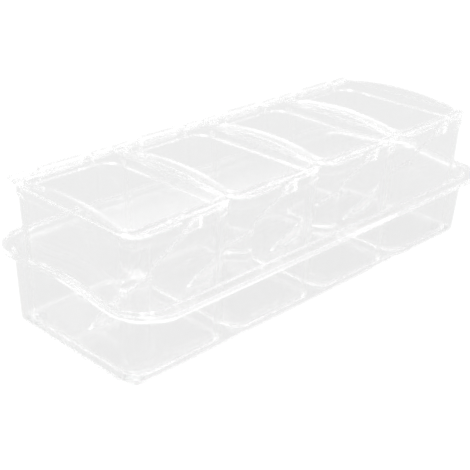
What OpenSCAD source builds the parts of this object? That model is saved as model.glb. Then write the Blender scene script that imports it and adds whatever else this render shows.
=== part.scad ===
// Condiment caddy: an ice tray with four lift-out cups. Each cup has its own hinged lid and spoon.
// Units are millimetres. The origin is on the ground under the middle of the tray, +Z is up,
// the row of cups runs along X and the fronts of the lids face -Y.

/* [Cups] */
// Width of a cup across its rim band
cup_width = 90.4; // [80:0.2:100]
// Depth of a cup across its rim band, front to back
cup_depth = 134; // [120:0.5:150]
// Height of a cup from its underside to its rim
cup_height = 103.5; // [90:0.5:120]
// Thickness of the cup walls
cup_wall = 1.8; // [1.4:0.1:2.4]
// Outside corner radius of the rim band
cup_corner = 15; // [10:0.5:20]
// How much each side wall leans out between the underside and the band
cup_side_lean = 1.8; // [1:0.1:4]
// How much the front and back walls lean out between the underside and the band
cup_front_lean = 4; // [2:0.25:8]
// Radius along the bottom edge of a cup
cup_bottom_radius = 5; // [3:0.5:8]
// Height of the thicker band round the rim
band_height = 8; // [6:0.5:12]
// How far the band stands out from the wall below it
band_step = 1.4; // [0.8:0.1:2]
// Gap between the bands of neighbouring cups
cup_gap = 1.6; // [1:0.1:4]

/* [Tray] */
// Height of the tray from its underside to its rim
tray_height = 58.5; // [45:0.5:75]
// Thickness of the tray walls and floor
tray_wall = 2.2; // [1.6:0.1:3]
// Outside corner radius at the bottom of the tray
tray_corner = 12; // [9:0.5:16]
// Radius along the bottom edge of the tray
tray_bottom_radius = 3; // [2:0.5:5]
// Room between the end cups and the tray wall, at the floor
tray_end_room = 3.5; // [2:0.25:8]
// Room between the fronts of the cups and the tray wall, at the floor
tray_front_room = 1.8; // [1:0.2:6]
// Height of the cups' undersides above the tray floor
cup_seat_gap = 0.3; // [0.2:0.1:0.6]
// How much the end walls lean out between the floor and the rim
tray_end_lean = 1.3; // [0.5:0.1:4]
// How much the front and back walls lean out between the floor and the rim
tray_front_lean = 8.5; // [4:0.5:12]
// Corner radius where the walls meet the rim
tray_mouth_corner = 22; // [18:1:28]
// Width of the rim flange at the two ends
rim_end_width = 6.5; // [5:0.5:16]
// Width of the rim flange along the front and back
rim_front_width = 13; // [8:0.5:20]
// Outside corner radius of the rim flange
rim_corner = 32; // [26:1:40]
// Height of the raised lip round the outside of the rim
rim_lip_height = 4.5; // [3.5:0.25:7]
// Width of the raised lip
rim_lip_width = 2.6; // [2:0.2:4]
// Thickness of the flat part of the rim
rim_thickness = 2; // [1.6:0.1:3]
// How far the rim rises in the middle of each end, as a finger hold
rim_arch = 4.5; // [0:0.5:8]

/* [Feet] */
// Height of the pads under the tray
foot_height = 3; // [2:0.25:6]
// Diameter of the pads
foot_diameter = 14; // [10:0.5:18]

/* [Lids] */
// Thickness of the lids
lid_wall = 1.8; // [1.4:0.1:2.4]
// Height of the vault above the seat of the lid
lid_rise = 8; // [6:0.25:14]
// How much narrower the lid is than the rim band, on each side
lid_inset = 1.2; // [0.6:0.1:2]
// Gap between the closed lid and the rim
lid_seat_gap = 0.3; // [0.2:0.1:0.5]
// Depth of the flat strip and lip in front of the vault
lid_front_strip = 10; // [8:0.5:14]
// Depth of the flat strip behind the vault
lid_back_strip = 8; // [6:0.5:12]
// How far the front lip turns up above the flat strip
lip_rise = 3.5; // [2:0.25:6]
// How far the front lip stands out in front of the band
lip_reach = 1.2; // [0.6:0.1:2]
// Width of the finger tab
tab_width = 16; // [12:0.5:20]
// How far the tab stands out in front of the lip
tab_reach = 1.2; // [0.8:0.1:3]
// Distance of the tab from the middle of the lid, to the left
tab_offset = 10; // [8:0.5:16]

/* [Hinges] */
// Diameter of the hinge pins
pin_diameter = 3.2; // [2.4:0.1:3.6]
// Running play between pin and bore, on the radius
pin_play = 0.05; // [0.02:0.01:0.1]
// Diameter of the knuckles on the cup
knuckle_diameter = 7.6; // [6.5:0.1:8.5]
// Diameter of the barrel on the lid
barrel_diameter = 9; // [7.6:0.1:10]
// Length of the barrel on the lid
barrel_length = 36; // [26:0.5:44]
// Length of each knuckle on the cup
knuckle_length = 15; // [10:0.5:17]
// Clearance swept free round the barrel and the knuckles
hinge_clearance = 0.7; // [0.5:0.05:1.2]
// Distance of the hinge axis in front of the back of the band
hinge_inset = 0.5; // [0:0.1:1.5]
// Distance of the hinge axis below the rim
hinge_drop = 0.5; // [0:0.1:1.5]

/* [Spoons] */
// Width of the notch in the rim that the spoon rests in
notch_width = 17; // [13:0.5:20]
// Depth of the notch
notch_depth = 9; // [8:0.25:11]
// Distance of the notch from the middle of the cup, to the right
notch_offset = 4.2; // [2:0.2:8]
// Length of the spoon
spoon_length = 126; // [112:1:128]
// Width of the spoon's bowl
bowl_width = 22; // [16:0.5:26]
// Length of the spoon's bowl
bowl_length = 42; // [34:1:48]
// Depth of the spoon's bowl
bowl_depth = 5; // [3:0.25:7]
// Width of the handle at the notch
handle_width = 7.6; // [6:0.2:9]
// Thickness of the spoon
spoon_thickness = 2; // [1.6:0.1:2.4]
// Distance of the spoon's tip from the middle of the cup, to the left
tip_offset = 20; // [14:0.5:24]
// Distance of the spoon's tip behind the middle of the cup
tip_back = 4; // [0:0.5:12]

/* [Hidden] */
$fn = 64;

// Flat steps in each rounded corner of the tray and of the cups
tray_corner_steps = 9;
cup_corner_steps = 6;
// Flat steps along an end of the tray, which carry the arch of its rim
end_steps = 8;
// Overlap that joins two shapes of one piece
overlap = 0.4;

// Cups
cup_count = 4;
cup_pitch = cup_width + cup_gap;
cup_floor_z = foot_height + tray_wall + cup_seat_gap;
rim_z = cup_floor_z + cup_height;
body_top_x = cup_width / 2 - band_step;
body_top_y = cup_depth / 2 - band_step;
body_foot_x = body_top_x - cup_side_lean;
body_foot_y = body_top_y - cup_front_lean;
foot_corner = cup_corner - band_step - cup_side_lean / 2;
band_z = rim_z - band_height;

// Tray
row_half = (cup_count - 1) / 2 * cup_pitch;
tray_foot_x = row_half + body_foot_x + tray_end_room + tray_wall;
tray_foot_y = body_foot_y + tray_front_room + tray_wall;
tray_mouth_x = tray_foot_x + tray_end_lean;
tray_mouth_y = tray_foot_y + tray_front_lean;
rim_x = tray_mouth_x + rim_end_width;
rim_y = tray_mouth_y + rim_front_width;
tray_rim_z = foot_height + tray_height;

// Lids
seat_z = rim_z + lid_seat_gap;
lid_x = cup_width / 2 - lid_inset;
lid_back_y = cup_depth / 2 - lid_inset;
lip_y = -(cup_depth / 2 + lip_reach);
vault_front_y = lip_y + lid_front_strip;
vault_back_y = lid_back_y - lid_back_strip;
vault_half = (vault_back_y - vault_front_y) / 2;
vault_mid_y = (vault_back_y + vault_front_y) / 2;
vault_foot = lid_wall + 0.2;
vault_sag = lid_rise - vault_foot;
vault_radius = (vault_half * vault_half + vault_sag * vault_sag) / (2 * vault_sag);

// Hinges
hinge_y = cup_depth / 2 - hinge_inset;
hinge_z = rim_z - hinge_drop;
bore_diameter = pin_diameter + 2 * pin_play;
knuckle_end = body_top_x - hinge_clearance;
knuckle_start = knuckle_end - knuckle_length;
groove_diameter = pin_diameter + 2 * hinge_clearance;

// Spoons: the axis runs from the tip, low in the cup, up through the notch in the front rim
notch_z = rim_z - notch_depth;
inner_front_y = -(body_top_y - cup_wall);
rest_height = 3.2;
spoon_exit = [notch_offset, inner_front_y - 1.6, notch_z + rest_height + 1.6];
spoon_tip = [-tip_offset, tip_back, cup_floor_z + cup_wall + 3.7];
spoon_axis = (spoon_exit - spoon_tip) / norm(spoon_exit - spoon_tip);
spoon_across_raw = [1, 0, 0] - spoon_axis[0] * spoon_axis;
spoon_across = spoon_across_raw / norm(spoon_across_raw);
spoon_down = cross(spoon_across, spoon_axis);

// --- Shapes that several pieces share ---

// Rise of an arched end at distance y from its middle, on a straight stretch of half length h
function end_arch(y, h, rise) = rise * (1 + cos(180 * y / h)) / 2;

// One ring of a shell: [half length, half width, corner radius, height, rise of its two ends]
function shell_ring(level, steps, ends) =
    let(
        x = level[0],
        y = level[1],
        r = level[2],
        z = level[3],
        rise = level[4],
        h = y - r,
        right = [for (i = [1 : ends - 1]) let(v = -h + 2 * h * i / ends) [x, v, z + end_arch(v, h, rise)]],
        left = [for (i = [1 : ends - 1]) let(v = h - 2 * h * i / ends) [-x, v, z + end_arch(v, h, rise)]],
        arc = function(quarter, cx, cy)
            [for (k = [0 : steps]) let(a = 90 * (quarter + k / steps)) [cx + r * cos(a), cy + r * sin(a), z]]
    )
    concat(right, arc(0, x - r, h), arc(1, r - x, h), left, arc(2, r - x, -h), arc(3, x - r, -h));

// Closed skin over rings of points, from the first ring round to the last
module skin(rings) {
    count = len(rings[0]);
    last = (len(rings) - 1) * count;
    middles = [for (ring = [rings[0], rings[len(rings) - 1]]) (ring[0] + ring[floor(count / 2)]) / 2];
    cap = len(rings) * count;
    sides = [
        for (i = [0 : len(rings) - 2], j = [0 : count - 1])
            let(a = i * count + j, b = i * count + (j + 1) % count)
            each [[a, a + count, b], [b, a + count, b + count]]
    ];
    first_cap = [for (j = [0 : count - 1]) [cap, j, (j + 1) % count]];
    last_cap = [for (j = [0 : count - 1]) [cap + 1, last + (j + 1) % count, last + j]];
    polyhedron(
        points = concat([for (ring = rings) each ring], middles),
        faces = concat(first_cap, sides, last_cap),
        convexity = 6
    );
}

// Levels of a rounded bottom edge, outside going up or, reversed, inside going down
function bottom_edge(x, y, r, z, radius, steps) = [
    for (i = [0 : steps])
        let(a = 90 * i / steps, in = radius * (1 - sin(a)))
        [x - in, y - in, max(r - in, 1), z + radius * (1 - cos(a)), 0]
];

function reversed(list) = [for (i = [len(list) - 1 : -1 : 0]) list[i]];

// Rounded rectangle from [x0, y0] to [x1, y1]
module rounded_plate(x0, y0, x1, y1, r) {
    translate([x0 + r, y0]) square([x1 - x0 - 2 * r, y1 - y0]);
    translate([x0, y0 + r]) square([x1 - x0, y1 - y0 - 2 * r]);
    for (x = [x0 + r, x1 - r], y = [y0 + r, y1 - r]) translate([x, y]) circle(r);
}

// Cylinder along X at the hinge axis
module hinge_rod(diameter, x0, x1) {
    translate([x0, hinge_y, hinge_z]) rotate([0, 90, 0]) cylinder(d = diameter, h = x1 - x0);
}

// Extrudes an outline in the YZ plane along X, centred
module across_lid(width) {
    translate([-width / 2, 0, 0]) rotate([90, 0, 90]) linear_extrude(width) children();
}

module at_cup(index) {
    translate([(index - (cup_count + 1) / 2) * cup_pitch, 0, 0]) children();
}

// --- Tray ---

module tray() {
    base_z = foot_height;
    inner_z = base_z + tray_wall;
    flat_top_z = tray_rim_z - rim_lip_height + rim_thickness + 0.6;
    flat_low_z = flat_top_z - rim_thickness;
    lip_low_z = tray_rim_z - rim_lip_height;
    edge = 0.7;
    inside_radius = tray_bottom_radius - 1;
    outside = [
        [tray_mouth_x, tray_mouth_y, tray_mouth_corner, flat_low_z - 2.5, rim_arch],
        [tray_mouth_x + 0.7, tray_mouth_y + 0.7, tray_mouth_corner + 0.7, flat_low_z - 0.8, rim_arch],
        [tray_mouth_x + 2.5, tray_mouth_y + 2.5, tray_mouth_corner + 2, flat_low_z, rim_arch],
        [rim_x - rim_lip_width, rim_y - rim_lip_width, rim_corner - rim_lip_width, flat_low_z, rim_arch],
        [rim_x - rim_lip_width + edge, rim_y - rim_lip_width + edge, rim_corner - rim_lip_width + edge,
            lip_low_z, rim_arch],
        [rim_x - edge, rim_y - edge, rim_corner - edge, lip_low_z, rim_arch],
        [rim_x, rim_y, rim_corner, lip_low_z + edge, rim_arch],
        [rim_x, rim_y, rim_corner, tray_rim_z - edge, rim_arch],
        [rim_x - edge, rim_y - edge, rim_corner - edge, tray_rim_z, rim_arch],
        [rim_x - rim_lip_width + edge, rim_y - rim_lip_width + edge, rim_corner - rim_lip_width + edge,
            tray_rim_z, rim_arch],
        [rim_x - rim_lip_width, rim_y - rim_lip_width, rim_corner - rim_lip_width, flat_top_z, rim_arch],
        [tray_mouth_x + 1, tray_mouth_y + 1, tray_mouth_corner + 1, flat_top_z, rim_arch],
        [tray_mouth_x - tray_wall + 0.6, tray_mouth_y - tray_wall + 0.6, tray_mouth_corner - tray_wall + 0.6,
            flat_top_z - 0.8, rim_arch],
        [tray_mouth_x - tray_wall, tray_mouth_y - tray_wall, tray_mouth_corner - tray_wall,
            flat_low_z - 2.5, rim_arch]
    ];
    levels = concat(
        bottom_edge(tray_foot_x, tray_foot_y, tray_corner, base_z, tray_bottom_radius, 3),
        outside,
        reversed(bottom_edge(tray_foot_x - tray_wall, tray_foot_y - tray_wall, tray_corner - tray_wall,
            inner_z, inside_radius, 3))
    );
    color([0.93, 0.95, 0.96, 0.35]) skin([for (level = levels) shell_ring(level, tray_corner_steps, end_steps)]);
}

// --- Feet: clear pads under the four corners of the tray ---

module foot(side, front) {
    dome = 0.8;
    color([0.88, 0.9, 0.92, 0.5])
        translate([side * (tray_foot_x - tray_corner), front * (tray_foot_y - tray_corner), 0]) {
            translate([0, 0, dome]) cylinder(d = foot_diameter, h = foot_height - dome);
            cylinder(d1 = foot_diameter - 2 * dome, d2 = foot_diameter, h = dome);
        }
}

// --- Cups ---

module cup_shell() {
    chamfer = 0.5;
    corner = cup_corner - band_step;
    levels = concat(
        bottom_edge(body_foot_x, body_foot_y, foot_corner, cup_floor_z, cup_bottom_radius, 4),
        [
            [body_top_x, body_top_y, corner, band_z - band_step, 0],
            [cup_width / 2, cup_depth / 2, cup_corner, band_z, 0],
            [cup_width / 2, cup_depth / 2, cup_corner, rim_z - chamfer, 0],
            [cup_width / 2 - chamfer, cup_depth / 2 - chamfer, cup_corner - chamfer, rim_z, 0],
            [body_top_x - cup_wall + chamfer, body_top_y - cup_wall + chamfer, corner - cup_wall + chamfer,
                rim_z, 0],
            [body_top_x - cup_wall, body_top_y - cup_wall, corner - cup_wall, rim_z - chamfer, 0],
            [body_top_x - cup_wall, body_top_y - cup_wall, corner - cup_wall, band_z - band_step, 0]
        ],
        reversed(bottom_edge(body_foot_x - cup_wall, body_foot_y - cup_wall, foot_corner - cup_wall,
            cup_floor_z + cup_wall, cup_bottom_radius - cup_wall, 4))
    );
    skin([for (level = levels) shell_ring(level, cup_corner_steps, 1)]);
}

module cup() {
    barrel_room = barrel_diameter + 2 * hinge_clearance;
    barrel_half = barrel_length / 2 + hinge_clearance;
    color([0.95, 0.97, 0.98, 0.3]) difference() {
        union() {
            cup_shell();
            for (side = [-1, 1]) {
                middle = side * (knuckle_start + knuckle_end) / 2;
                hinge_rod(knuckle_diameter, middle - knuckle_length / 2, middle + knuckle_length / 2);
            }
        }
        hinge_rod(bore_diameter, -cup_width, cup_width);
        hinge_rod(groove_diameter, -knuckle_start, knuckle_start);
        hinge_rod(barrel_room, -barrel_half, barrel_half);
        translate([-knuckle_start, hinge_y - groove_diameter / 2, hinge_z])
            cube([2 * knuckle_start, groove_diameter, knuckle_diameter]);
        translate([notch_offset - notch_width / 2, -cup_depth / 2 - overlap, notch_z])
            cube([notch_width, band_step + cup_wall + 2 * overlap, notch_depth + overlap]);
    }
}

// --- Hinge pins ---

module hinge_pin() {
    color([0.85, 0.88, 0.9, 0.6]) hinge_rod(pin_diameter, -knuckle_end, knuckle_end);
}

// --- Lids ---

// Section of the vault between its flat seat and an arc, inset by the given thickness.
// It runs a little past the vault on both sides: the footprint trims it.
module vault_section(inset) {
    arc_z = seat_z + lid_rise - vault_radius;
    past = 2;
    intersection() {
        translate([vault_mid_y, arc_z]) circle(vault_radius - inset, $fn = 400);
        translate([vault_front_y - past, seat_z - (inset > 0 ? 1 : 0)])
            square([2 * (vault_half + past), 2 * lid_rise]);
    }
}

// Rounded footprint of the vault, as a prism
module vault_footprint(inset) {
    corner = cup_corner - 5 - inset;
    translate([0, 0, seat_z - 2])
        linear_extrude(lid_rise + 4)
            rounded_plate(-lid_x + inset, vault_front_y + inset, lid_x - inset, vault_back_y - inset, corner);
}

module lid_vault(inset) {
    intersection() {
        across_lid(2 * lid_x + 4) vault_section(inset);
        vault_footprint(inset);
    }
}

// Flat strips in front of and behind the vault, with the lip turned up along the front
module lid_strips() {
    top = seat_z + lid_wall;
    bend_y = -(cup_depth / 2 - band_step - cup_wall);
    slope = lip_rise / (bend_y - lip_y);
    across_lid(2 * lid_x) polygon([
        [vault_front_y + overlap + lid_wall, seat_z],
        [bend_y, seat_z],
        [lip_y, seat_z + lip_rise],
        [lip_y, seat_z + lip_rise + lid_wall],
        [bend_y + slope * lid_wall / 2, top],
        [vault_front_y + overlap + lid_wall, top]
    ]);
    translate([0, 0, seat_z]) linear_extrude(lid_wall)
        rounded_plate(-lid_x, vault_front_y + lid_wall, lid_x, lid_back_y, lid_wall);
}

module lid_tab() {
    tab_z = seat_z + lip_rise;
    translate([0, 0, tab_z]) linear_extrude(lid_wall)
        rounded_plate(-tab_offset - tab_width / 2, lip_y - tab_reach, -tab_offset + tab_width / 2, lip_y + 2.4, 2.2);
}

module lid() {
    knuckle_room = knuckle_diameter + 2 * hinge_clearance;
    color([0.96, 0.98, 0.99, 0.3]) difference() {
        union() {
            difference() {
                union() {
                    lid_vault(0);
                    lid_strips();
                }
                lid_vault(lid_wall);
            }
            lid_tab();
            hinge_rod(barrel_diameter, -barrel_length / 2, barrel_length / 2);
        }
        hinge_rod(bore_diameter, -lid_x, lid_x);
        for (side = [-1, 1]) {
            low = side > 0 ? barrel_length / 2 + hinge_clearance : -lid_x - 1;
            high = side > 0 ? lid_x + 1 : -barrel_length / 2 - hinge_clearance;
            hinge_rod(knuckle_room, low, high);
        }
    }
}

// --- Spoons ---

// Smooth step from 0 to 1 as v goes from a to b
function ease(v, a, b) = let(t = min(max((v - a) / (b - a), 0), 1)) t * t * (3 - 2 * t);

// Half width of the spoon at distance s from its tip
function spoon_half_width(s) =
    let(
        tip = bowl_width / 2 * (0.72 + 0.28 * ease(s, 0, bowl_length * 0.3)),
        neck = 2.7 + (handle_width / 2 - 2.7) * ease(s, bowl_length, spoon_length),
        shape = tip + (neck - tip) * ease(s, bowl_length * 0.6, bowl_length * 1.15)
    )
    s > spoon_length - 2 ? shape - 1.2 * (s - spoon_length + 2) / 2 : shape;

function spoon_dip(s) = s < bowl_length ? bowl_depth * sin(180 * pow(s / bowl_length, 0.85)) : 0;

// Outline of the spoon's section at distance s from its tip
function spoon_section(s, steps) =
    let(w = spoon_half_width(s), dip = spoon_dip(s), t = spoon_thickness / 2, place = spoon_tip + s * spoon_axis)
    concat(
        [for (i = [0 : steps]) let(u = 1 - 2 * i / steps)
            place + u * w * spoon_across + (dip * (1 - u * u) - t) * spoon_down],
        [for (i = [0 : steps]) let(u = -1 + 2 * i / steps)
            place + u * w * spoon_across + (dip * (1 - u * u) + t) * spoon_down]
    );

module spoon() {
    bowl_stations = 14;
    bowl_part = [for (i = [0 : bowl_stations]) bowl_length * 1.15 * i / bowl_stations];
    handle_part = [spoon_length * 0.6, spoon_length * 0.8, spoon_length - 2, spoon_length];
    color([0.9, 0.93, 0.95, 0.5])
        skin([for (s = concat(bowl_part, handle_part)) spoon_section(s, 6)]);
}

// --- Assembly ---

tray();
foot(-1, -1);  // foot_front_left
foot(1, -1);  // foot_front_right
foot(-1, 1);  // foot_back_left
foot(1, 1);  // foot_back_right
at_cup(1) cup();  // cup_1
at_cup(2) cup();  // cup_2
at_cup(3) cup();  // cup_3
at_cup(4) cup();  // cup_4
at_cup(1) hinge_pin();  // hinge_pin_1
at_cup(2) hinge_pin();  // hinge_pin_2
at_cup(3) hinge_pin();  // hinge_pin_3
at_cup(4) hinge_pin();  // hinge_pin_4
at_cup(1) lid();  // lid_1
at_cup(2) lid();  // lid_2
at_cup(3) lid();  // lid_3
at_cup(4) lid();  // lid_4
at_cup(1) spoon();  // spoon_1
at_cup(2) spoon();  // spoon_2
at_cup(3) spoon();  // spoon_3
at_cup(4) spoon();  // spoon_4
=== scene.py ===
import math

import bmesh
import bpy
from mathutils import Matrix, Vector


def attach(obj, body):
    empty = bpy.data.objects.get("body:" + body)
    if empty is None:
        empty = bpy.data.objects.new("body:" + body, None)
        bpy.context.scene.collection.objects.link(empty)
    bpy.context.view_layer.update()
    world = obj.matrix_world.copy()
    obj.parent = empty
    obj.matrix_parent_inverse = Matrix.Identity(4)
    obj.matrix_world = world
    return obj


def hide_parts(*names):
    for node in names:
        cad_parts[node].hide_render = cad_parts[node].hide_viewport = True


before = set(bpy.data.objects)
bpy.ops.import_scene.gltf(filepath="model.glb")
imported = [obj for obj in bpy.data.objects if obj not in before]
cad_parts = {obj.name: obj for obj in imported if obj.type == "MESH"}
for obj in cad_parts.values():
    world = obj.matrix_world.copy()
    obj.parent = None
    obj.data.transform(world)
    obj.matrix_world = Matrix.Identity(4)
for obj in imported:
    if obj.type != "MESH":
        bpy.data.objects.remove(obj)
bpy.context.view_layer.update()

# --- Studio ---
# A plain white light table inside a white cloth tent, for clear plastic on white. Its walls and
# edges show by what they mirror and bend, so the tent's sides are a little greyer than its top.

MM = 0.001
# Light that stays inside a clear wall is mirrored hundreds of times before it comes out at an edge
WALL_BOUNCES = 1024
scene = bpy.context.scene
scene.view_settings.view_transform = "Standard"
scene.cycles.max_bounces = WALL_BOUNCES
scene.cycles.transmission_bounces = WALL_BOUNCES
scene.cycles.glossy_bounces = WALL_BOUNCES
scene.cycles.transparent_max_bounces = 24
# Pixel filter in pixels, as soft as a studio lens stopped well down
scene.cycles.filter_width = 3.0


def linear(hex_colour):
    """Linear RGBA of an sRGB hex colour."""
    parts = [int(hex_colour[i : i + 2], 16) / 255 for i in (1, 3, 5)]
    return (*[c / 12.92 if c <= 0.04045 else ((c + 0.055) / 1.055) ** 2.4 for c in parts], 1.0)


def add_node(tree, kind, links=(), **settings):
    """Adds a node with its settings and its incoming links, given as (input, output socket)."""
    node = tree.nodes.new(kind)
    for name, value in settings.items():
        if name in node.inputs and name not in node.bl_rna.properties:
            node.inputs[name].default_value = value
        else:
            setattr(node, name, value)
    for name, source in links:
        tree.links.new(source, node.inputs[name])
    return node


def new_material(name):
    """An empty node material and its tree."""
    material = bpy.data.materials.new(name)
    material.use_nodes = True
    material.node_tree.nodes.clear()
    return material, material.node_tree


SENSOR_WIDTH, FOCAL_LENGTH = 36, 78.451
SHIFT_X, SHIFT_Y = -0.0092, -0.0100


def add_camera(azimuth, elevation, roll, distance, across, upward, offset):
    """The camera, turned round the object by angles in degrees, with lengths in millimetres."""
    a, e, t = (math.radians(v) for v in (azimuth, elevation, roll))
    back = Vector((math.sin(a) * math.cos(e), -math.cos(a) * math.cos(e), math.sin(e)))
    side = Vector((math.cos(a), math.sin(a), 0))
    rise = back.cross(side)
    right = side * math.cos(t) + rise * math.sin(t)
    up = rise * math.cos(t) - side * math.sin(t)
    place = (back * distance + right * across + up * upward + Vector(offset)) * MM
    data = bpy.data.cameras.new("camera")
    data.sensor_width = SENSOR_WIDTH
    data.lens = FOCAL_LENGTH
    data.shift_x = SHIFT_X
    data.shift_y = SHIFT_Y
    camera = bpy.data.objects.new("camera", data)
    turn = Matrix((right, up, back)).transposed()
    camera.matrix_world = Matrix.Translation(place) @ turn.to_4x4()
    scene.collection.objects.link(camera)
    scene.camera = camera


add_camera(
    azimuth=-45.99,
    elevation=24.751,
    roll=1.332,
    distance=820.784,
    across=-14.877,
    upward=32.229,
    offset=(-2.4, -3.0, 3.0),
)

# Opal acrylic light table: matt, lit evenly from below, and a pale grey to whatever stands on it.
# The lens sees it as plain white: that stronger light is for direct view alone.
OPAL_TINTS = ("#262626", "#242424")
TABLE_GLOW, LENS_GLOW = 0.82, 1.1


def seen_white(tree, glow):
    """The strength of a studio surface's light: white in direct view, and glow for the object."""
    ray = add_node(tree, "ShaderNodeLightPath")
    strength = add_node(tree, "ShaderNodeMix", [("Factor", ray.outputs["Is Camera Ray"])])
    if isinstance(glow, float):
        strength.inputs["A"].default_value = glow
    else:
        tree.links.new(glow, strength.inputs["A"])
    strength.inputs["B"].default_value = LENS_GLOW
    return strength.outputs["Result"]


opal, tree = new_material("opal_acrylic_matt_light_table")
# Over a table of 18 m this is a mottle about 300 mm across, as in cast acrylic
mottle = add_node(tree, "ShaderNodeTexNoise", Scale=60, Detail=2)
tint = add_node(tree, "ShaderNodeMix", [("Factor", mottle.outputs["Fac"])], data_type="RGBA")
tint.inputs["A"].default_value = linear(OPAL_TINTS[0])
tint.inputs["B"].default_value = linear(OPAL_TINTS[1])
surface = add_node(
    tree,
    "ShaderNodeBsdfPrincipled",
    [("Base Color", tint.outputs["Result"])],
    Roughness=0.9,
)
surface.inputs["Specular IOR Level"].default_value = 0.1
WHITE = (1, 1, 1, 1)
table_light = seen_white(tree, TABLE_GLOW)
glow = add_node(tree, "ShaderNodeEmission", [("Strength", table_light)], Color=WHITE)
lit = add_node(
    tree, "ShaderNodeAddShader", [(0, surface.outputs["BSDF"]), (1, glow.outputs["Emission"])]
)
add_node(tree, "ShaderNodeOutputMaterial", [("Surface", lit.outputs["Shader"])])

# In metres: half the table, and how far its top lies under the feet
FLOOR_HALF, FLOOR_GAP = 9.0, 0.0002
floor_mesh = bpy.data.meshes.new("floor")
corners = [
    (x * FLOOR_HALF, y * FLOOR_HALF, -FLOOR_GAP) for x, y in ((-1, -1), (1, -1), (1, 1), (-1, 1))
]
floor_mesh.from_pydata(corners, [], [(0, 1, 2, 3)])
floor_mesh.materials.append(opal)
floor = bpy.data.objects.new("floor", floor_mesh)
scene.collection.objects.link(floor)

# Light tent of white cloth, brighter overhead: the flat walls see its grey sides, and the rounded
# edges catch its top. Radiance of sides and top, and the sines of height between which it rises.
SIDE_GLOW, CROWN_GLOW = 0.84, 1.5
CROWN_FROM, CROWN_TO = 0.48, 0.72
world = bpy.data.worlds.new("light_tent")
scene.world = world
world.use_nodes = True
tree = world.node_tree
tree.nodes.clear()
direction = add_node(tree, "ShaderNodeTexCoord")
parts = add_node(tree, "ShaderNodeSeparateXYZ", [("Vector", direction.outputs["Generated"])])
cloth = add_node(
    tree,
    "ShaderNodeMapRange",
    [("Value", parts.outputs["Z"])],
    interpolation_type="SMOOTHSTEP",
)
for name, value in (
    ("From Min", CROWN_FROM),
    ("From Max", CROWN_TO),
    ("To Min", SIDE_GLOW),
    ("To Max", CROWN_GLOW),
):
    cloth.inputs[name].default_value = value
tent_light = seen_white(tree, cloth.outputs["Result"])
tent = add_node(tree, "ShaderNodeBackground", [("Strength", tent_light)], Color=WHITE)
add_node(tree, "ShaderNodeOutputWorld", [("Surface", tent.outputs["Background"])])

# Soft boxes overhead, all aimed at the middle of the object and no brighter than the top of the
# tent, so that no lid mirrors them as a patch. Side in metres, power in watts, then their places.
BOX_SIDE, BOX_POWER = 1.2, 6.8
OBJECT_MIDDLE = Vector((0, 0, 0.06))
SOFT_BOXES = {
    "left_box": (-1.3, -0.2, 2.2),
    "front_box": (0.7, -1.2, 2.2),
    "back_box": (0.6, 1.3, 2.2),
}
for name, place in SOFT_BOXES.items():
    lamp = bpy.data.lights.new(name, "AREA")
    lamp.size = BOX_SIDE
    lamp.energy = BOX_POWER
    lamp_object = bpy.data.objects.new(name, lamp)
    lamp_object.location = place
    aim = OBJECT_MIDDLE - Vector(place)
    lamp_object.rotation_euler = aim.to_track_quat("-Z", "Y").to_euler()
    scene.collection.objects.link(lamp_object)

# --- Tray ---
# One injection moulding in clear SAN: tapered walls, a wide flange with a groove and a raised lip.
# The flange rises at each end as a finger hold. Every edge has the small radius of a mould.


def soften(profile, steps):
    """Rounds a path of levels: each level's last number is how far its corner is cut back."""
    path = []
    for i, level in enumerate(profile):
        here, reach = Vector(level[:-1]), level[-1]
        if i in (0, len(profile) - 1) or reach == 0:
            path.append(here)
            continue
        before, after = (Vector(profile[i + d][:-1]) for d in (-1, 1))
        start = here + (before - here).normalized() * min(reach, (before - here).length * 0.49)
        end = here + (after - here).normalized() * min(reach, (after - here).length * 0.49)
        for k in range(steps + 1):
            t = k / steps
            path.append(start * (1 - t) ** 2 + here * 2 * t * (1 - t) + end * t * t)
    return path


def ring(level, corner_steps, end_steps):
    """Points round a shell at one level: half length, half width, corner radius, height, rise."""
    x, y, r, z, rise = level
    h = y - r
    stretch = [-h + 2 * h * i / end_steps for i in range(1, end_steps)]
    arch = [z + rise * (1 + math.cos(math.pi * v / h)) / 2 for v in stretch]
    points = [(x, v, a) for v, a in zip(stretch, arch)]
    for quarter, cx, cy in ((0, x - r, h), (1, r - x, h), (2, r - x, -h), (3, x - r, -h)):
        if quarter == 2:
            points += [(-x, -v, a) for v, a in zip(stretch, arch)]
        for k in range(corner_steps + 1):
            a = math.pi / 2 * (quarter + k / corner_steps)
            points.append((cx + r * math.cos(a), cy + r * math.sin(a), z))
    return points


def loft(name, sections):
    """A closed mesh through sections of equally many points, in millimetres, with flat ends."""
    count, rows = len(sections[0]), len(sections)
    faces = []
    for i in range(rows - 1):
        for j in range(count):
            here, beside = i * count + j, i * count + (j + 1) % count
            faces.append((here, beside, beside + count, here + count))
    faces.append(tuple(range(count - 1, -1, -1)))
    faces.append(tuple((rows - 1) * count + j for j in range(count)))
    mesh = bpy.data.meshes.new(name)
    mesh.from_pydata([Vector(p) * MM for section in sections for p in section], [], faces)
    shell = bmesh.new()
    shell.from_mesh(mesh)
    bmesh.ops.recalc_face_normals(shell, faces=shell.faces)
    shell.to_mesh(mesh)
    shell.free()
    return mesh


CLOUD_SCALE, RIPPLE_SCALE = 14, 45


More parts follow.
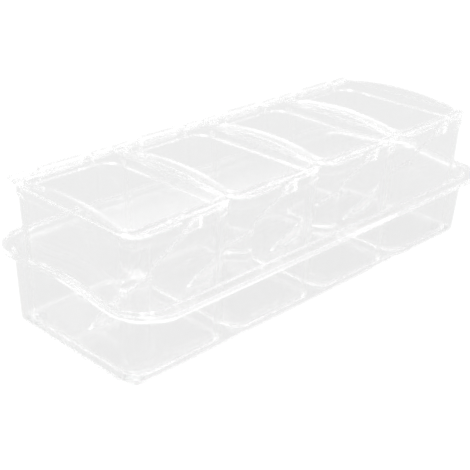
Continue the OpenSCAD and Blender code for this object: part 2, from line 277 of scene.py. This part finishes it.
def clear_moulding(name, colour, ior, roughness, ripple):
    """Polished clear plastic: a faint tint, and the shallow ripple cooling leaves in a wall."""
    material, tree = new_material(name)
    place = add_node(tree, "ShaderNodeTexCoord").outputs["Object"]
    # The tint drifts in clouds about 70 mm across, as the melt flowed
    cloud = add_node(tree, "ShaderNodeTexNoise", [("Vector", place)], Scale=CLOUD_SCALE, Detail=2)
    tint = add_node(tree, "ShaderNodeMix", [("Factor", cloud.outputs["Fac"])], data_type="RGBA")
    tint.inputs["A"].default_value = linear(colour[0])
    tint.inputs["B"].default_value = linear(colour[1])
    # Ripples about 22 mm across, as on a wall that shrank a little unevenly; their height is in mm
    waves = add_node(tree, "ShaderNodeTexNoise", [("Vector", place)], Scale=RIPPLE_SCALE, Detail=1)
    bump = add_node(
        tree,
        "ShaderNodeBump",
        [("Height", waves.outputs["Fac"])],
        Strength=1.0,
        Distance=ripple * MM,
    )
    surface = add_node(
        tree,
        "ShaderNodeBsdfPrincipled",
        [("Base Color", tint.outputs["Result"]), ("Normal", bump.outputs["Normal"])],
        Roughness=roughness,
        IOR=ior,
    )
    surface.inputs["Transmission Weight"].default_value = 1.0
    add_node(tree, "ShaderNodeOutputMaterial", [("Surface", surface.outputs["BSDF"])])
    return material


def add_piece(name, mesh, material, body, node, offset=0.0):
    """Puts a mesh in the scene as the visible form of one CAD node, riding on its body."""
    if not mesh.materials:
        mesh.materials.append(material)
    piece = bpy.data.objects.new(name, mesh)
    piece.location.x = offset * MM
    scene.collection.objects.link(piece)
    # Weighted normals keep the flat walls flat up to their rounded edges
    even_shading = piece.modifiers.new("even_shading", "WEIGHTED_NORMAL")
    even_shading.keep_sharp = True
    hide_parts(node)
    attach(piece, body)


def smooth(mesh, angle=32):
    """Smooth shading, with the edges sharper than angle left crisp."""
    mesh.shade_smooth()
    mesh.set_sharp_from_angle(angle=math.radians(angle))


# Clear SAN, injection moulded and polished: glassy and colourless. Each wall mirrors a little of
# the tent, so walls that lie one behind another look a shade greyer.
TRAY_TINTS = ("#ffffff", "#fefefe")
SAN_IOR, POLISHED = 1.57, 0.01
san_tray = clear_moulding("san_clear_injection_moulded_tray", TRAY_TINTS, SAN_IOR, POLISHED, 0.03)

# Levels from the middle of the underside, out and up over the rim, and down inside to the floor:
# half length, half width, corner radius, height, rise at the ends, and how far the bend is rounded
TRAY_PROFILE = [
    (177.7, 57.6, 5.0, 3.0, 0, 0),
    (185.7, 65.6, 12.0, 3.0, 0, 3.0),
    (187.0, 74.1, 22.0, 55.1, 4.5, 1.2),
    (188.3, 75.4, 23.3, 57.6, 4.5, 1.6),
    (190.7, 84.3, 29.2, 57.6, 4.5, 0.4),
    (191.4, 85.0, 29.9, 57.0, 4.5, 0.4),
    (193.5, 87.1, 32.0, 57.0, 4.5, 1.4),
    (193.5, 87.1, 32.0, 61.5, 4.5, 1.6),
    (190.9, 84.5, 29.4, 61.5, 4.5, 1.2),
    (190.9, 84.5, 29.4, 59.6, 4.5, 0.9),
    (185.6, 72.7, 20.6, 59.6, 4.5, 2.4),
    (184.8, 71.9, 19.8, 55.1, 4.5, 2.0),
    (183.5, 63.4, 9.8, 5.2, 0, 2.2),
    (177.5, 57.4, 3.8, 5.2, 0, 0),
]
BEND_STEPS = 8
tray_levels = soften(TRAY_PROFILE, BEND_STEPS)
tray_mesh = loft("tray_moulding", [ring(level, 20, 32) for level in tray_levels])
smooth(tray_mesh)
add_piece("tray_moulding", tray_mesh, san_tray, "tray_body", "tray")

# --- Feet ---
# Four round pads of clear soft plastic, pressed under the corners of the tray. Their lower edge is
# rounded and their underside is slightly dished, so that each stands on a ring.

# Soft clear PVC, moulded: a trace of grey, and not quite as smooth as the hard plastic
FOOT_TINTS = ("#f4f5f5", "#f7f8f8")
PVC_IOR, PVC_ROUGHNESS = 1.53, 0.12
pvc_foot = clear_moulding("pvc_clear_soft_foot", FOOT_TINTS, PVC_IOR, PVC_ROUGHNESS, 0.05)


def turned(name, profile, steps):
    """A closed mesh turned about the Z axis from (radius, height, rounding) levels."""
    turns = [2 * math.pi * k / steps for k in range(steps)]
    levels = soften(profile, 4)
    return loft(name, [[(r * math.cos(t), r * math.sin(t), z) for t in turns] for r, z in levels])


FOOT_PROFILE = [(3.6, 0.35, 0), (5.0, 0.0, 0.6), (7.0, 0.0, 1.0), (7.0, 2.96, 0.3), (0.5, 2.96, 0)]
foot_mesh = turned("foot_pad", FOOT_PROFILE, 56)
smooth(foot_mesh)
FOOT_X, FOOT_Y = 173.7, 53.6
for side, x in (("left", -FOOT_X), ("right", FOOT_X)):
    for row, y in (("front", -FOOT_Y), ("back", FOOT_Y)):
        name = f"foot_{row}_{side}"
        pad_mesh = foot_mesh.copy()
        pad_mesh.transform(Matrix.Translation(Vector((x, y, 0)) * MM))
        add_piece(f"{name}_pad", pad_mesh, pvc_foot, "tray_body", name)

# --- Cups ---
# Four deep cups, each one moulding in the same clear SAN. The rim is a thicker band, cut by a
# notch for the spoon, and two hinge knuckles stand at the back of it.

CUP_COUNT, CUP_PITCH = 4, 92.0
CUP_OFFSETS = [(i - (CUP_COUNT - 1) / 2) * CUP_PITCH for i in range(CUP_COUNT)]
RIM_Z = 109.0
HINGE_Y, HINGE_Z = 66.5, 108.5
PIN_RADIUS, BORE_RADIUS = 1.6, 1.65


def rod(name, radius, x0, x1, edge=0.0, steps=48):
    """A rod along X about the hinge axis, with its two rims rounded off by edge."""
    stations = [(x0, radius), (x1, radius)]
    if edge:
        low = []
        for k in range(4, -1, -1):
            a = math.pi / 2 * k / 4
            low.append((x0 + edge * (1 - math.sin(a)), radius - edge * (1 - math.cos(a))))
        stations = low + [(x0 + x1 - x, r) for x, r in reversed(low)]
    sections = []
    for x, r in stations:
        turns = [2 * math.pi * k / steps for k in range(steps)]
        circle = [(x, HINGE_Y + r * math.cos(t), HINGE_Z + r * math.sin(t)) for t in turns]
        sections.append(circle)
    return loft(name, sections)


def block(name, low, high, rounding):
    """A box between two corners, with the edges that run along Y rounded."""
    (x0, y0, z0), (x1, y1, z1) = low, high
    left, right, foot, top = x0 + rounding, x1 - rounding, z0 + rounding, z1 - rounding
    outline = []
    for cx, cz, turn in ((right, top, 0), (left, top, 1), (left, foot, 2), (right, foot, 3)):
        for k in range(7):
            a = math.pi / 2 * (turn + k / 6)
            outline.append((cx + rounding * math.cos(a), cz + rounding * math.sin(a)))
    return loft(name, [[(x, y, z) for x, z in outline] for y in (y1, y0)])


def carve(mesh, others, operation):
    """Joins other meshes to a mesh, or cuts them out of it, and clears the helpers away."""
    host = bpy.data.objects.new("host", mesh)
    scene.collection.objects.link(host)
    helpers = []
    for other in others:
        helper = bpy.data.objects.new("helper", other)
        scene.collection.objects.link(helper)
        helpers.append(helper)
        step = host.modifiers.new("carve", "BOOLEAN")
        step.operation = operation
        step.solver = "EXACT"
        step.object = helper
    depsgraph = bpy.context.evaluated_depsgraph_get()
    result = bpy.data.meshes.new_from_object(host.evaluated_get(depsgraph))
    result.name = mesh.name
    for helper in [host, *helpers]:
        data = helper.data
        bpy.data.objects.remove(helper)
        bpy.data.meshes.remove(data)
    return result


# Levels as for the tray, from the underside over the rim and down to the floor inside
CUP_PROFILE = [
    (32.0, 51.6, 4.0, 5.5, 0, 0),
    (42.0, 61.6, 12.7, 5.5, 0, 5.0),
    (43.8, 65.6, 13.6, 100.3, 0, 0.6),
    (45.2, 67.0, 15.0, 101.0, 0, 0.7),
    (45.2, 67.0, 15.0, 109.0, 0, 2.2),
    (42.0, 63.8, 14.0, 109.0, 0, 1.5),
    (42.0, 63.8, 15.0, 99.6, 0, 3.0),
    (40.2, 59.8, 13.5, 7.3, 0, 4.0),
    (31.0, 50.6, 2.5, 7.3, 0, 0),
]
# The same SAN as the tray: the thinner walls ripple a little more and bend what lies behind them
CUP_TINTS = ("#ffffff", "#fefefe")
san_cup = clear_moulding("san_clear_injection_moulded_cup", CUP_TINTS, SAN_IOR, POLISHED, 0.04)
KNUCKLE_RADIUS, KNUCKLE_START, KNUCKLE_END = 3.8, 28.1, 43.1
BARREL_RADIUS, BARREL_HALF, HINGE_ROOM = 4.5, 18.0, 0.7
HINGE_EDGE = 0.5
NOTCH_X0, NOTCH_X1, NOTCH_Z, NOTCH_INSIDE = -4.3, 12.7, 100.0, -62.0
WINDOW_Z, WINDOW_INSIDE = 101.8, 60.0
CUT_CORNER, SQUARE_CORNER = 1.2, 0.01
# How far the cuts reach, clear of the cup on all sides
BAND_OUTSIDE, ABOVE_RIM, ABOVE_HINGE, PAST_HINGE = 70.0, RIM_Z + 6, HINGE_Z + 8, 60.0

cup_levels = soften(CUP_PROFILE, BEND_STEPS)
cup_mesh = loft("cup_moulding", [ring(level, 16, 2) for level in cup_levels])
knuckles = [
    rod("knuckle", KNUCKLE_RADIUS, -KNUCKLE_END, -KNUCKLE_START, edge=HINGE_EDGE),
    rod("knuckle", KNUCKLE_RADIUS, KNUCKLE_START, KNUCKLE_END, edge=HINGE_EDGE),
]
cup_mesh = carve(cup_mesh, knuckles, "UNION")
groove_radius = PIN_RADIUS + HINGE_ROOM
room_radius, room_half = BARREL_RADIUS + HINGE_ROOM, BARREL_HALF + HINGE_ROOM
mouth_low = (-KNUCKLE_START, HINGE_Y - groove_radius, HINGE_Z)
mouth_high = (KNUCKLE_START, HINGE_Y + groove_radius, ABOVE_HINGE)
notch_low = (NOTCH_X0, -BAND_OUTSIDE, NOTCH_Z)
notch_high = (NOTCH_X1, NOTCH_INSIDE, ABOVE_RIM)
cuts = [
    rod("bore", BORE_RADIUS, -PAST_HINGE, PAST_HINGE),
    rod("groove", groove_radius, -KNUCKLE_START, KNUCKLE_START),
    rod("barrel_room", room_radius, -room_half, room_half),
    block("groove_mouth", mouth_low, mouth_high, SQUARE_CORNER),
    block("notch", notch_low, notch_high, CUT_CORNER),
]
# Windows in the band on both sides of the barrel, where the slides of the mould drew out
for x0, x1 in ((-KNUCKLE_START, -room_half), (room_half, KNUCKLE_START)):
    window_low, window_high = (x0, WINDOW_INSIDE, WINDOW_Z), (x1, BAND_OUTSIDE, ABOVE_RIM)
    cuts.append(block("window", window_low, window_high, CUT_CORNER))
for cut in cuts:
    cup_mesh = carve(cup_mesh, [cut], "DIFFERENCE")
smooth(cup_mesh)
for i, offset in enumerate(CUP_OFFSETS, 1):
    body, node = f"cup_body_{i}", f"cup_{i}"
    add_piece(f"cup_moulding_{i}", cup_mesh, san_cup, body, node, offset)

# --- Hinge pins ---
# A thin clear acrylic rod for each cup, cut to length, rounded at its ends and pushed through the
# knuckles and the barrel of the lid.

# Extruded acrylic: as clear as the mouldings, with a slightly lower index
PIN_TINTS = ("#fdfdfd", "#fcfcfc")
acrylic_pin = clear_moulding("acrylic_clear_extruded_rod", PIN_TINTS, 1.49, POLISHED, 0.01)
pin_mesh = rod("pin_rod", PIN_RADIUS, -KNUCKLE_END, KNUCKLE_END, edge=0.4, steps=32)
smooth(pin_mesh)
for i, offset in enumerate(CUP_OFFSETS, 1):
    body, node = f"cup_body_{i}", f"hinge_pin_{i}"
    add_piece(f"pin_rod_{i}", pin_mesh, acrylic_pin, body, node, offset)

# --- Lids ---
# Each lid is one clear moulding: a low vault with closed sides, a lip turned up along the front, a
# finger tab, and a long barrel at the back that turns on the pin.

SEAT_Z = 109.3
LID_WALL = 1.8
LID_HALF = 44.0
VAULT_FRONT, VAULT_BACK = -58.2, 57.8
VAULT_RISE, VAULT_RADIUS = 8.0, 283.3
VAULT_CORNER = 10.0


def vault(name, inset, floor_z, edge):
    """The solid under the arch of the lid, inset on all sides, standing on floor_z."""
    middle = (VAULT_FRONT + VAULT_BACK) / 2
    half = (VAULT_BACK - VAULT_FRONT) / 2 - inset
    corner = VAULT_CORNER - inset
    side = LID_HALF - inset
    bend = [math.pi / 2 * k / 10 for k in range(11)]
    rows = [(-half + corner * (1 - math.cos(a)), side - corner * (1 - math.sin(a))) for a in bend]
    straight = half - corner
    rows += [(-straight + 2 * straight * k / 40, side) for k in range(1, 40)]
    rows += [(-y, x) for y, x in reversed(rows[:11])]
    top_radius = VAULT_RADIUS - inset
    centre_z = SEAT_Z + VAULT_RISE - VAULT_RADIUS
    sections = []
    for y, x in rows:
        crown = centre_z + math.sqrt(top_radius**2 - y * y)
        r = min(edge, (crown - floor_z) * 0.45)
        arc = [math.pi / 2 * k / 5 for k in range(6)]
        left = [(-x + r * (1 - math.cos(a)), crown - r * (1 - math.sin(a))) for a in arc]
        right = [(-px, pz) for px, pz in reversed(left)]
        outline = [(-x, floor_z), *left, *right, (x, floor_z)]
        sections.append([(px, y + middle, pz) for px, pz in outline])
    return loft(name, sections)


def strip(name, outline, half, edge, steps=3):
    """A bar along X from an outline in Y and Z, its edges and the rims of its ends rounded."""
    closed = [outline[-1], *outline, outline[0]]
    rounded = soften([(*p, edge) for p in closed], steps)[1:-1]
    middle = Vector((sum(p[0] for p in outline), sum(p[1] for p in outline))) / len(outline)
    sections = []
    for k in range(5):
        a = math.pi / 2 * k / 4
        x, shrink = half - edge * (1 - math.sin(a)), edge * (1 - math.cos(a))
        section = []
        for p in rounded:
            inward = (middle - p).normalized() * shrink
            section.append((-x, p[0] + inward[0] * 0.3, p[1] + inward[1]))
        sections.append(section)
    sections.reverse()
    sections += [[(-x, y, z) for x, y, z in section] for section in reversed(sections)]
    return loft(name, sections)


LIP_Y, LIP_RISE = -68.2, 3.5
BEND_Y = -63.8
LID_BACK = 65.8
LID_CORNER = 12.5
# How far in the rims of the lid's plate reach, under the foot of the vault
RIM_START = 54.0
PLATE_TOP, LIP_FOOT = SEAT_Z + LID_WALL, SEAT_Z + LIP_RISE
slope = LIP_RISE / (BEND_Y - LIP_Y)
front_outline = [
    (-RIM_START, SEAT_Z),
    (BEND_Y, SEAT_Z),
    (LIP_Y, LIP_FOOT),
    (LIP_Y, LIP_FOOT + LID_WALL),
    (BEND_Y + slope * LID_WALL / 2, PLATE_TOP),
    (-RIM_START, PLATE_TOP),
]
back_outline = [
    (RIM_START, PLATE_TOP),
    (LID_BACK, PLATE_TOP),
    (LID_BACK, SEAT_Z),
    (RIM_START, SEAT_Z),
]


def tab_mesh():
    """The finger tab: a flat tongue with round corners, its upper and lower edge softened."""
    x0, x1, y0, y1, r = -18.0, -2.0, -69.4, -65.2, 1.9
    left, right, front, back = x0 + r, x1 - r, y0 + r, y1 - r
    corners = ((right, back), (left, back), (left, front), (right, front))
    low, high = LIP_FOOT, LIP_FOOT + LID_WALL
    lower_edge = [(low, 0.5), (low + 0.15, 0.15), (low + 0.5, 0)]
    upper_edge = [(high - 0.5, 0), (high - 0.15, 0.15), (high, 0.5)]
    sections = []
    for z, inset in lower_edge + upper_edge:
        section = []
        for turn, (cx, cy) in enumerate(corners):
            for k in range(7):
                a = math.pi / 2 * (turn + k / 6)
                section.append((cx + (r - inset) * math.cos(a), cy + (r - inset) * math.sin(a), z))
        sections.append(section)
    return loft("tab", sections)


# The same SAN again: the vault bends the cup below it only a little, and its rim glints
LID_TINTS = ("#ffffff", "#fefefe")
san_lid = clear_moulding("san_clear_injection_moulded_lid", LID_TINTS, SAN_IOR, POLISHED, 0.03)
VAULT_EDGE, HOLLOW_EDGE, PLATE_EDGE = 3.6, 2.2, 0.5
# Faces that would lie in one plane are kept this far apart, so that joining and cutting stay clean
APART = 0.01
lid_mesh = vault("lid_moulding", 0.0, SEAT_Z, VAULT_EDGE)
for name, outline in (("front", front_outline), ("back", back_outline)):
    rim = strip(name, outline, LID_HALF - APART, PLATE_EDGE)
    lid_mesh = carve(lid_mesh, [rim], "UNION")
# The corners of the lid follow those of the cup
plan = (LID_HALF + 2 * APART, (LID_BACK - LIP_Y) / 2 + 2 * APART, LID_CORNER)
plan_block = loft("plan_block", [ring((*plan, z, 0), 12, 2) for z in (SEAT_Z - 3, SEAT_Z + 15)])
plan_block.transform(Matrix.Translation(Vector((0, (LID_BACK + LIP_Y) / 2, 0)) * MM))
lid_mesh = carve(lid_mesh, [plan_block], "INTERSECT")
hollow = vault("hollow", LID_WALL, SEAT_Z - 1, HOLLOW_EDGE)
lid_mesh = carve(lid_mesh, [hollow], "DIFFERENCE")
barrel = rod("barrel", BARREL_RADIUS, -BARREL_HALF, BARREL_HALF, edge=HINGE_EDGE)
for part in (tab_mesh(), barrel):
    lid_mesh = carve(lid_mesh, [part], "UNION")
knuckle_room = KNUCKLE_RADIUS + HINGE_ROOM
for part in (
    rod("bore", BORE_RADIUS, -PAST_HINGE, PAST_HINGE),
    rod("room_left", knuckle_room, -PAST_HINGE, -room_half),
    rod("room_right", knuckle_room, room_half, PAST_HINGE),
):
    lid_mesh = carve(lid_mesh, [part], "DIFFERENCE")
smooth(lid_mesh)
for i, offset in enumerate(CUP_OFFSETS, 1):
    body, node = f"lid_body_{i}", f"lid_{i}"
    add_piece(f"lid_moulding_{i}", lid_mesh, san_lid, body, node, offset)

# --- Spoons ---
# A small spoon for each cup, moulded in clear polystyrene: a shallow bowl with a squared tip that
# narrows to a flat handle. It leans from the floor at the back left to the notch in the rim.

SPOON_TIP = Vector((-20.0, 4.0, 11.0))
SPOON_EXIT = Vector((4.2, -65.4, 104.8))
SPOON_LENGTH, BOWL_LENGTH, BOWL_WIDTH, BOWL_DEPTH = 126.0, 42.0, 22.0, 5.0
HANDLE_WIDTH, NECK_HALF, SPOON_THICK = 7.6, 2.7, 2.0
TIP_ROUNDING = 1.4
spoon_axis = (SPOON_EXIT - SPOON_TIP).normalized()
spoon_across = (Vector((1, 0, 0)) - spoon_axis * spoon_axis.x).normalized()
spoon_down = spoon_across.cross(spoon_axis)


def ease(v, a, b):
    """Smooth step from 0 to 1 as v goes from a to b."""
    t = min(max((v - a) / (b - a), 0), 1)
    return t * t * (3 - 2 * t)


def spoon_outline(s, steps=18):
    """The spoon's section at distance s from its tip, as points round it."""
    tip = BOWL_WIDTH / 2 * (0.72 + 0.28 * ease(s, 0, BOWL_LENGTH * 0.3))
    neck = NECK_HALF + (HANDLE_WIDTH / 2 - NECK_HALF) * ease(s, BOWL_LENGTH, SPOON_LENGTH)
    half = tip + (neck - tip) * ease(s, BOWL_LENGTH * 0.6, BOWL_LENGTH * 1.15)
    end = min(s, SPOON_LENGTH - s)
    rounding = math.sqrt(max(0.0, 1 - (1 - min(end / TIP_ROUNDING, 1)) ** 2))
    half -= TIP_ROUNDING * (1 - rounding)
    dip = BOWL_DEPTH * math.sin(math.pi * (s / BOWL_LENGTH) ** 0.85) if s < BOWL_LENGTH else 0
    thick = SPOON_THICK / 2 * (0.55 + 0.45 * rounding)
    points = []
    for side in (-1, 1):
        for k in range(steps):
            a = math.pi * (k + 0.5) / steps
            u = -side * math.copysign(abs(math.cos(a)) ** 0.7, math.cos(a))
            edge = min(1.0, math.sin(a) ** 0.35)
            points.append(
                SPOON_TIP + spoon_axis * s + spoon_across * (u * half)
                + spoon_down * (dip * (1 - u * u) + side * thick * edge)
            )
    return points


# Crystal polystyrene, injection moulded: as clear as the cups, with a slightly higher index
POLYSTYRENE_TINTS = ("#fefefe", "#fdfdfd")
polystyrene_spoon = clear_moulding(
    "polystyrene_clear_moulded_spoon", POLYSTYRENE_TINTS, 1.59, POLISHED, 0.02
)
# Sections lie close together at both ends and round the bowl, and far apart along the handle
tips = [0.0, 0.1, 0.4, 0.9, 1.5]
bowl_end, handle_end = BOWL_LENGTH * 1.2, SPOON_LENGTH - tips[-1]
bowl = [tips[-1] + (bowl_end - tips[-1]) * k / 36 for k in range(1, 37)]
handle = [bowl_end + (handle_end - bowl_end) * k / 10 for k in range(1, 11)]
stations = tips + bowl + handle + [SPOON_LENGTH - s for s in reversed(tips[:-1])]
spoon_mesh = loft("spoon_moulding", [spoon_outline(s) for s in stations])
smooth(spoon_mesh, 50)
for i, offset in enumerate(CUP_OFFSETS, 1):
    name, body, node = f"spoon_moulding_{i}", f"spoon_body_{i}", f"spoon_{i}"
    add_piece(name, spoon_mesh, polystyrene_spoon, body, node, offset)
